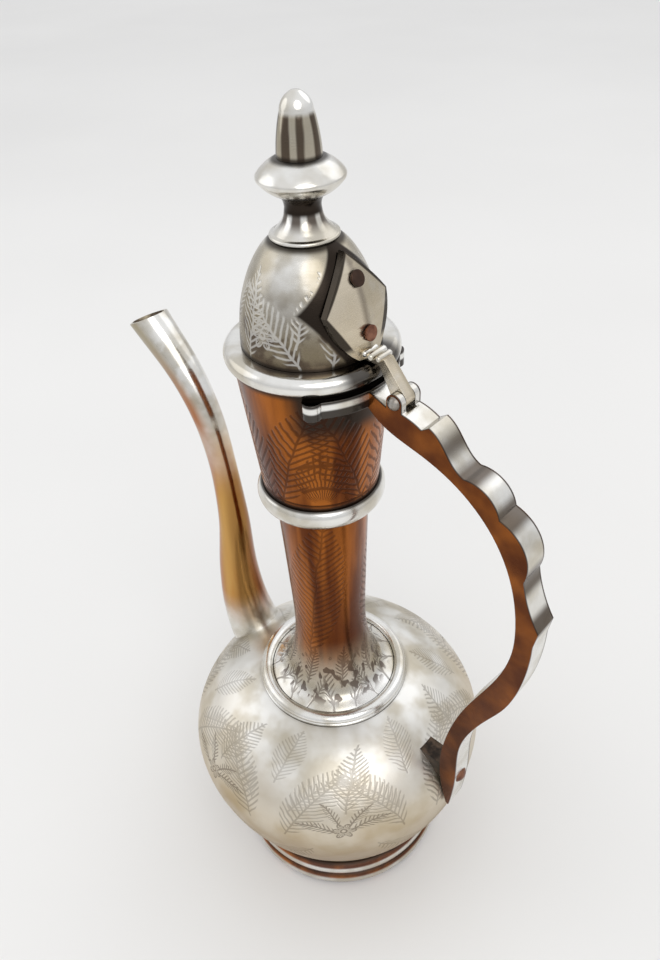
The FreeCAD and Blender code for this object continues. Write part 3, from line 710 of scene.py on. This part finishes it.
def foot_painted_light(look):
    """Painted reflection and shade in dark brown, left bright along the two beads as painted highlights."""
    top = top_of("foot_ring")
    lower_bead = look.line(look.z - top * 0.28, top * 0.12)
    upper_bead = look.line(look.z - top * 0.80, top * 0.10)
    brown = look.mix(look.fade(look.cloud(9), 0.4, 0.7), DEEP_BROWN, BROWN)
    return [((1 - look.most(lower_bead, upper_bead)) * 0.95, brown)]


def strap_stains_and_painted_shade(look):
    """Warm beige clouds; painted shade, grey-brown on one side of the fold, darker along the fold, and
    black along the leaf's edge.
    """
    fold = look.fade(abs(look.y), 1.5, 0.1) * look.fade(look.z, *STRAP_FOLD)
    edge = look.fade(beside_leaf(look), -0.7, -0.2) * look.fade(look.z, *STRAP_LEAF)
    return [(look.fade(look.cloud(6), 0.1, 0.5) * 0.85, BEIGE), (look.fade(look.y, 0.0, 1.2) * 0.55, OLIVE),
            (fold * 0.55, DARK_UMBER), (edge * 0.95, DEEP_BLACK)]


def tip_painted_reflection(look):
    """Painted reflection below the nose: olive grey with dark upright bands."""
    top = top_of("finial_tip")
    band = look.math("FRACT", look.turn() * 8 + look.cloud(4, stretch=(1, 1, 0.1)) * 0.7)
    below = look.fade(look.z, top - 3.4, top - 4.6)
    return [(below * 0.8, OLIVE), (look.fade(abs(band - 0.5), 0.34, 0.16) * below * 0.95, DARK_UMBER)]


def finial_painted_light(look):
    """Painted shade, black under the disc, and painted reflection in dark streaks down the flare."""
    top = top_of("finial_base")
    streak = look.fade(abs(look.math("FRACT", look.turn() * 8) - 0.5), 0.40, 0.20)
    return [(look.fade(look.z, top - 7.2, top - 4.6) * streak * 0.9, DARK_UMBER),
            (look.fade(look.z, top - 4.0, top - 3.0), DEEP_BLACK)]


def metal(name, first, second, roughness):
    """A plain metal with a cloudy tone and fine grain."""
    look = Look(name)
    patches = look.cloud(2.5)
    grain = look.cloud(0.4, stretch=(1, 1, 4))
    colour = look.mix(look.fade(patches, 0.35, 0.65), first, second)
    return look.finish(colour, grain * 0.2 + roughness, patches * 0.08, metallic=1.0)


def rivet_copper():
    """Dark copper, black on the upper rivet of the strap."""
    look = Look("rivet_copper")
    patches = look.cloud(1.8)
    on_upper_rivet = look.fade(look.z, *UPPER_RIVET)
    colour = look.mix(look.fade(patches, 0.3, 0.7), DARK_COPPER, COPPER)
    colour = look.mix(on_upper_rivet * 0.85, colour, DEEP_BLACK)
    return look.finish(colour, patches * 0.2 + 0.3, patches * 0.1, metallic=0.9)


def foot_outline():
    """Two beads with a groove between them, open in the middle."""
    radius = radius_of("foot_ring")
    top = top_of("foot_ring")
    bore = FOOT_BORE_RADIUS
    groove = FOOT_GROOVE_RADIUS
    standing = FOOT_STANDING_RADIUS
    beads = arc((standing + 0.3, 0.15), (radius, top * 0.25), (groove, top * 0.49))
    beads += arc((groove, top * 0.51), (radius - 0.3, top * 0.75), (BODY_SEAT_RADIUS, top))
    return [(bore, 0.5), (bore + 0.5, 0), (standing, 0)] + beads + [(bore, top), (bore, 0.5)]


def body_outline():
    """The bowl from the foot to the belly, then the shoulder up to the neck."""
    belly_radius = radius_of("body_upper_shell")
    belly = bottom_of("body_upper_shell")
    shoulder = top_of("body_upper_shell") - belly
    width = belly_radius - BODY_OPENING_RADIUS
    shares = ((0, 0), (0.52, 0.40), (0.86, 0.71), (1, 1))
    bowl = between((BODY_SEAT_RADIUS, bottom_of("body_lower_shell")), (belly_radius, belly), shares)
    outline = soft(bowl, 10, (0, 1), (0, 1))
    steps = 36
    for step in range(1, steps + 1):
        angle = math.pi / 2 * step / steps
        out = max(math.cos(angle), 0.0) ** (2 / SHOULDER_FULLNESS)
        rise = math.sin(angle) ** (2 / SHOULDER_FULLNESS)
        outline.append((BODY_OPENING_RADIUS + out * width, belly + rise * shoulder))
    return outline


def collar_outline():
    """A half-round ring with a fine fillet at its foot."""
    radius = radius_of("neck_collar")
    bottom = bottom_of("neck_collar")
    top = top_of("neck_collar")
    bore = COLLAR_BORE_RADIUS
    seat = top - 2.0
    crown = arc((radius - 0.25, seat), ((radius + bore) / 2, top), (bore, seat), 16)
    return [(bore, bottom), (radius, bottom), (radius, seat - 0.25)] + crown + [(bore, bottom)]


def neck_outline():
    """The trumpet skirt, the waist and the slowly widening stem."""
    bottom = bottom_of("neck_lower")
    waist = (NECK_WAIST_RADIUS, bottom + NECK_WAIST_RISE)
    skirt = between((radius_of("neck_lower"), bottom + 0.6), waist,
                    ((0, 0), (0.46, 0.10), (0.75, 0.32), (0.95, 0.66), (1, 1)))
    stem = between(waist, (NECK_TOP_RADIUS, top_of("neck_lower")), ((0.3, 0.36), (0.72, 0.74), (1, 1)))
    return soft(skirt + stem, 9)


def mid_ring_outline():
    """A half-round ring between the stem and the cup."""
    radius = radius_of("mid_ring")
    bottom = bottom_of("mid_ring")
    top = top_of("mid_ring")
    bore = NECK_TOP_RADIUS - 0.3
    seat = CUP_FOOT_RADIUS + 0.15
    start = (bore, bottom + 0.2)
    bead = arc((seat, bottom), (radius, (bottom + top) / 2), (seat + 0.5, top), 18)
    return [start, (seat - 0.4, bottom)] + bead + [(seat, top), (bore, top - 1.5), start]


def cup_outline():
    """The flaring upper neck."""
    foot = (CUP_FOOT_RADIUS, bottom_of("neck_upper"))
    mouth = (radius_of("neck_upper"), top_of("neck_upper"))
    return soft([foot, mouth], 24)


def rim_outline():
    """The rolled mouth with its flat seat for the lid."""
    radius = radius_of("mouth_rim")
    bottom = bottom_of("mouth_rim")
    top = top_of("mouth_rim")
    bore = RIM_BORE_RADIUS
    seat = radius_of("neck_upper")
    start = (bore, bottom + 0.6)
    roll = arc((seat + 0.35, bottom), (radius, (bottom + top) / 2), ((bore + radius) / 2, top), 20)
    return [start, (seat, bottom + 0.1)] + roll + [(bore + 0.3, top), (bore, top - 0.3), start]


def dome_outline():
    """The lid's dome, upright at its edge and sloping under the finial."""
    edge = (radius_of("lid_dome"), bottom_of("lid_dome"))
    crest = (DOME_TOP_RADIUS, top_of("lid_dome"))
    shares = ((0, 0), (0.02, 0.14), (0.09, 0.35), (0.22, 0.54), (0.42, 0.73), (0.72, 0.91), (1, 1))
    return soft(between(edge, crest, shares), 8, (0, 1), (-1, 0.5))


def finial_base_outline():
    """A ring at the foot, then a flared stem with a narrow waist."""
    radius = radius_of("finial_base")
    bottom = bottom_of("finial_base")
    top = top_of("finial_base")
    bore = FINIAL_BORE_RADIUS
    ring = arc((radius - 0.2, bottom), (radius, bottom + 0.45), (radius - 0.35, bottom + 0.9), 8)
    flare = soft([(radius - 0.9, bottom + 1.0), (5.8, bottom + 1.9), (4.5, bottom + 3.6),
                  (3.9, bottom + 6.0), (4.1, bottom + 7.4), (FINIAL_NECK_RADIUS, top)], 8)
    return [(bore, bottom)] + ring + flare + [(bore, top), (bore, bottom)]


def finial_disc_outline():
    """Two low cones set edge to edge, with a narrow rim."""
    radius = radius_of("finial_disc")
    bottom = bottom_of("finial_disc")
    top = top_of("finial_disc")
    bore = FINIAL_BORE_RADIUS
    neck = FINIAL_NECK_RADIUS
    middle = (bottom + top) / 2
    bulge = (neck + radius) / 2 + 0.3
    low_rim = (radius - 0.15, middle - 0.5)
    high_rim = (radius - 0.15, middle + 0.5)
    under = arc((neck, bottom), (bulge, (bottom + middle) / 2 - 0.5), low_rim)
    over = arc(high_rim, (bulge, (top + middle) / 2 + 0.5), (neck, top))
    edge = arc(low_rim, (radius, middle), high_rim, 6)
    return [(bore, bottom)] + under + edge[1:-1] + over + [(bore, top), (bore, bottom)]


def finial_tip_outline():
    """A bullet with a rounded nose and a small crown."""
    bottom = bottom_of("finial_tip")
    top = top_of("finial_tip")
    shoulder = (3.4, top - 3.6)
    crown_edge = (1.5, top - 0.5)
    side = arc((radius_of("finial_tip"), bottom), (4.25, bottom + 4.5), shoulder)
    nose = arc(shoulder, (2.75, top - 1.7), crown_edge, 8)
    crown = arc(crown_edge, (0.85, top - 0.12), (0, top), 6)
    return [(FINIAL_BORE_RADIUS, bottom)] + side + nose[1:] + crown[1:-1] + [(0, top)]


def spout_radius(run):
    """The spout's radius in mm at a length along its line: narrowest at the throat."""
    if run < SPOUT_THROAT:
        widening = SPOUT_ROOT_RADIUS - SPOUT_THROAT_RADIUS
        share = (SPOUT_THROAT - run) / SPOUT_THROAT
    else:
        widening = SPOUT_MOUTH_RADIUS - SPOUT_THROAT_RADIUS
        share = (run - SPOUT_THROAT) / (SPOUT_LENGTH - SPOUT_THROAT)
    return SPOUT_THROAT_RADIUS + widening * share ** SPOUT_FLARE_POWER


def spout():
    """A tapering tube along the swan-neck line, cut off on a slant at the mouth."""
    centre = soft(SPOUT_LINE, 8)
    bpy.ops.object.select_all(action="DESELECT")
    bpy.ops.curve.primitive_bezier_curve_add()
    tube = bpy.context.active_object
    tube.name = "spout"
    curve = tube.data
    curve.dimensions = "3D"
    curve.bevel_depth = MM
    curve.bevel_resolution = SPOUT_ROUNDNESS
    curve.use_fill_caps = False
    curve.splines.clear()
    line = curve.splines.new("POLY")
    line.points.add(len(centre) - 1)
    run = 0.0
    before = centre[0]
    for point, (x, z) in zip(line.points, centre):
        run += math.hypot(x - before[0], z - before[1])
        before = (x, z)
        point.co = (x * MM, 0, z * MM, 1)
        point.radius = spout_radius(run)
    bpy.ops.object.convert(target="MESH")
    tube.data.name = "spout"
    cleaned(tube)
    opened(tube)
    slant = math.radians(SPOUT_LIP_TILT - SPOUT_TIP_LEAN)
    mouth_x, mouth_z = SPOUT_MOUTH
    bpy.ops.mesh.bisect(plane_co=(mouth_x * MM, 0, mouth_z * MM),
                        plane_no=(math.sin(slant), 0, math.cos(slant)), clear_outer=True)
    closed()
    walled(tube, SPOUT_WALL)
    eased(tube, SPOUT_LIP_EDGE, LIP_ANGLE)
    return tube


def strap_bead(name, x, z, radius, half):
    """A round bar across the strap with rounded ends, in mm."""
    corner = radius * (1 - math.sqrt(0.5))
    end = arc((0, -half), (radius - corner, corner - half), (radius, radius - half), 6)
    bar = end + [(r, -y) for r, y in reversed(end)]
    piece = drawn(name, [(r, y, 0) for r, y in bar])
    lathed(piece, "Y", BEAD_SEGMENTS)
    opened(piece)
    bpy.ops.transform.translate(value=Vector((x, 0, z)) * MM)
    closed()
    cleaned(piece)
    return piece


def fitted(piece, body, slot, material, *nodes, lining=None):
    """Gives a piece its material, a second one for the inside of a wall, and its place in the frame."""
    if lining:
        piece.data.materials[0] = material
        piece.data.materials[1] = lining
    else:
        piece.data.materials.append(material)
    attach(piece, body)
    if nodes:
        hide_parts(*nodes)


def coated(node, material):
    """Gives a material to a CAD piece that stays as it is."""
    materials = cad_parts[node].data.materials
    materials.clear()
    materials.append(material)


def build_pot(lining, copper, steel):
    """The foot, body, neck, spout and handle."""
    foot_top = top_of("foot_ring")
    foot = silver("foot_silver", 0.2, ((0, 1.0), (foot_top / 2, 1.0), (foot_top, 0.8)), foot_painted_light)
    fitted(turned("foot", foot_outline()), "pot", POLISHED, foot, "foot_ring")
    shoulder = top_of("body_upper_shell")
    body = silver("body_silver", 0.36, ((foot_top, 2.5), (shoulder, 1.2)), body_stains_and_painted_reflection, body_engraving)
    fitted(turned("body", body_outline(), BODY_WALL), "pot", SATIN, body,
           "body_lower_shell", "body_upper_shell", lining=lining)
    collar = silver("collar_silver", 0.2, ((bottom_of("neck_collar"), 0.8),))
    fitted(turned("collar", collar_outline()), "pot", POLISHED, collar, "neck_collar")
    stem = silver("stem_silver", 0.24, ((bottom_of("neck_lower"), 0.5), (top_of("neck_lower") - 2.7, 1.8)),
                  neck_stains_and_painted_reflection, neck_engraving, BURNT)
    fitted(turned("stem", neck_outline(), NECK_WALL), "pot", SATIN, stem, "neck_lower", lining=lining)
    ring = silver("mid_ring_silver", 0.18, ((bottom_of("mid_ring"), 0.9), (top_of("mid_ring"), 0.5)))
    fitted(turned("neck_ring", mid_ring_outline()), "pot", POLISHED, ring, "mid_ring")
    cup = silver("cup_silver", 0.24, ((top_of("mid_ring"), 1.6), (bottom_of("mouth_rim"), 1.8)),
                 cup_painted_reflection_and_shadow, cup_engraving, BURNT)
    fitted(turned("cup", cup_outline(), NECK_WALL), "pot", SATIN, cup, "neck_upper", lining=lining)
    rim = silver("rim_silver", 0.18, ((bottom_of("mouth_rim"), 0.9),), rim_painted_shade)
    fitted(turned("rim", rim_outline()), "pot", POLISHED, rim, "mouth_rim")
    spout_silver = silver("spout_silver", 0.2, stains_and_painted_light=spout_stains_and_painted_light)
    fitted(spout(), "pot", POLISHED, spout_silver, "spout_tube", lining=lining)
    handle = silver("handle_silver", 0.24, stains_and_painted_light=handle_stains_and_painted_light)
    fitted(softened("handle", "handle_scroll", 0.45), "pot", POLISHED, handle, "handle")
    saddle = silver("saddle_silver", 0.2, stains_and_painted_light=saddle_painted_shade_and_highlight)
    fitted(softened("neck_saddle", "saddle", 0.8), "pot", POLISHED, saddle, "neck_saddle")
    post = metal("post_silver", DULL_SILVER, BLACK_SILVER, 0.25)
    fitted(softened("handle_post", "post", 0.3), "pot", POLISHED, post, "handle_post")
    fitted(softened("handle_rivet", "scroll_rivet", 0.15), "pot", RIVET, copper, "handle_rivet")
    fitted(softened("hinge_pin", "pin", 0.15), "pot", FASTENER, steel, "hinge_pin")
    coated("base_disc", silver("base_silver", 0.4))


def build_lid(lining, copper, steel):
    """The dome, its finial and its strap."""
    dome = silver("dome_silver", 0.27, ((bottom_of("lid_dome"), 0.9), (top_of("lid_dome"), 1.0)),
                  dome_stains_and_painted_light, dome_engraving, SILVER)
    fitted(turned("dome", dome_outline(), DOME_WALL), "lid", SATIN, dome, "lid_dome", lining=lining)
    base = silver("finial_base_silver", 0.2, ((bottom_of("finial_base"), 0.4),), finial_painted_light)
    fitted(turned("finial_stem", finial_base_outline()), "lid", POLISHED, base, "finial_base")
    disc = silver("disc_silver", 0.2, ((bottom_of("finial_disc"), 1.2), (top_of("finial_disc"), 0.6)))
    fitted(turned("finial_wheel", finial_disc_outline()), "lid", POLISHED, disc, "finial_disc")
    tip = silver("tip_silver", 0.16, ((bottom_of("finial_tip"), 0.8),), tip_painted_reflection)
    fitted(turned("finial_bullet", finial_tip_outline()), "lid", POLISHED, tip, "finial_tip")
    strap = silver("strap_silver", 0.26, stains_and_painted_light=strap_stains_and_painted_shade)
    fitted(softened("lid_strap", "strap", 0.3), "lid", POLISHED, strap, "lid_strap")
    bead_silver = silver("bead_silver", 0.18)
    rim_edge = radius_of("mouth_rim")
    tail_top = top_of("mouth_rim") + STRAP_TAIL_RISE
    for number, (inset, radius, half) in enumerate(STRAP_BEADS, 1):
        bead = strap_bead("strap_bead_%d" % number, rim_edge - inset, tail_top, radius, half)
        fitted(bead, "lid", POLISHED, bead_silver)
    fitted(softened("strap_rivets", "leaf_rivets", 0.12), "lid", RIVET, copper, "strap_rivets")
    for node in ("finial_stud", "finial_washer", "finial_nut"):
        coated(node, steel)
    coated("lid_flange", silver("flange_silver", 0.35))


def build_stage():
    """A wide pale floor, large soft lamps and a pale world."""
    bpy.ops.object.select_all(action="DESELECT")
    bpy.ops.mesh.primitive_circle_add(vertices=64, radius=FLOOR_RADIUS, fill_type="NGON")
    floor = bpy.context.active_object
    floor.name = "floor"
    look = Look("floor_paper")
    tone = look.fade(look.cloud(400), 0.2, 0.8)
    colour = look.mix(tone, PAPER, PALE_PAPER)
    floor.data.materials.append(look.finish(colour, tone * 0.1 + 0.6, look.cloud(3) * 0.02))
    for name, place, width, power in LAMPS:
        bpy.ops.object.light_add(type="AREA", location=place)
        lamp = bpy.context.active_object
        lamp.name = name
        lamp.data.shape = "DISK"
        lamp.data.size = width
        lamp.data.energy = power
        way = Vector(LAMP_AIM) - Vector(place)
        lamp.rotation_euler = way.to_track_quat("-Z", "Y").to_euler()
    world = bpy.data.worlds.new("studio")
    bpy.context.scene.world = world
    sky = Nodes(world)
    way = sky.node("ShaderNodeTexCoord", {}, {}, "Generated")
    height = sky.node("ShaderNodeSeparateXYZ", {}, {0: way}, "Z")
    strength = sky.node("ShaderNodeMapRange", {"interpolation_type": "SMOOTHSTEP"},
                        {"Value": height, "From Min": 0.0, "From Max": SKY_HIGH,
                         "To Min": SKY_LEVEL_STRENGTH, "To Max": SKY_HIGH_STRENGTH})
    background = sky.nodes["Background"]
    background.inputs["Color"].default_value = SKY
    sky.links.new(strength.socket, background.inputs["Strength"])


def build_camera():
    """The photograph's view: high, close and slightly turned."""
    data = bpy.data.cameras.new("photo_camera")
    camera = bpy.data.objects.new("photo_camera", data)
    bpy.context.scene.collection.objects.link(camera)
    data.lens = CAMERA_LENS
    data.clip_start = 0.01
    heading = math.radians(CAMERA_AZIMUTH - CAMERA_YAW)
    pitch = math.radians(CAMERA_PITCH)
    roll = math.radians(CAMERA_ROLL)
    azimuth = math.radians(CAMERA_AZIMUTH)
    forward = Vector((-math.sin(heading) * math.cos(pitch), math.cos(heading) * math.cos(pitch),
                      -math.sin(pitch)))
    level = Vector((math.cos(heading), math.sin(heading), 0))
    down = forward.cross(level)
    right = level * math.cos(roll) + down * math.sin(roll)
    up = level * math.sin(roll) - down * math.cos(roll)
    place = Vector((math.sin(azimuth), -math.cos(azimuth), 0)) * CAMERA_DISTANCE
    place.z = CAMERA_HEIGHT
    axes = Matrix((right, up, -forward)).transposed().to_4x4()
    camera.matrix_world = Matrix.Translation(place) @ axes
    bpy.context.scene.camera = camera


dark_lining = metal("dark_lining", DARK_UMBER, OLIVE, 0.35)
dark_copper = rivet_copper()
pin_steel = metal("pin_steel", STEEL, DARK_STEEL, 0.25)
build_pot(dark_lining, dark_copper, pin_steel)
build_lid(dark_lining, dark_copper, pin_steel)
build_stage()
build_camera()
bpy.context.scene.view_settings.view_transform = "Standard"
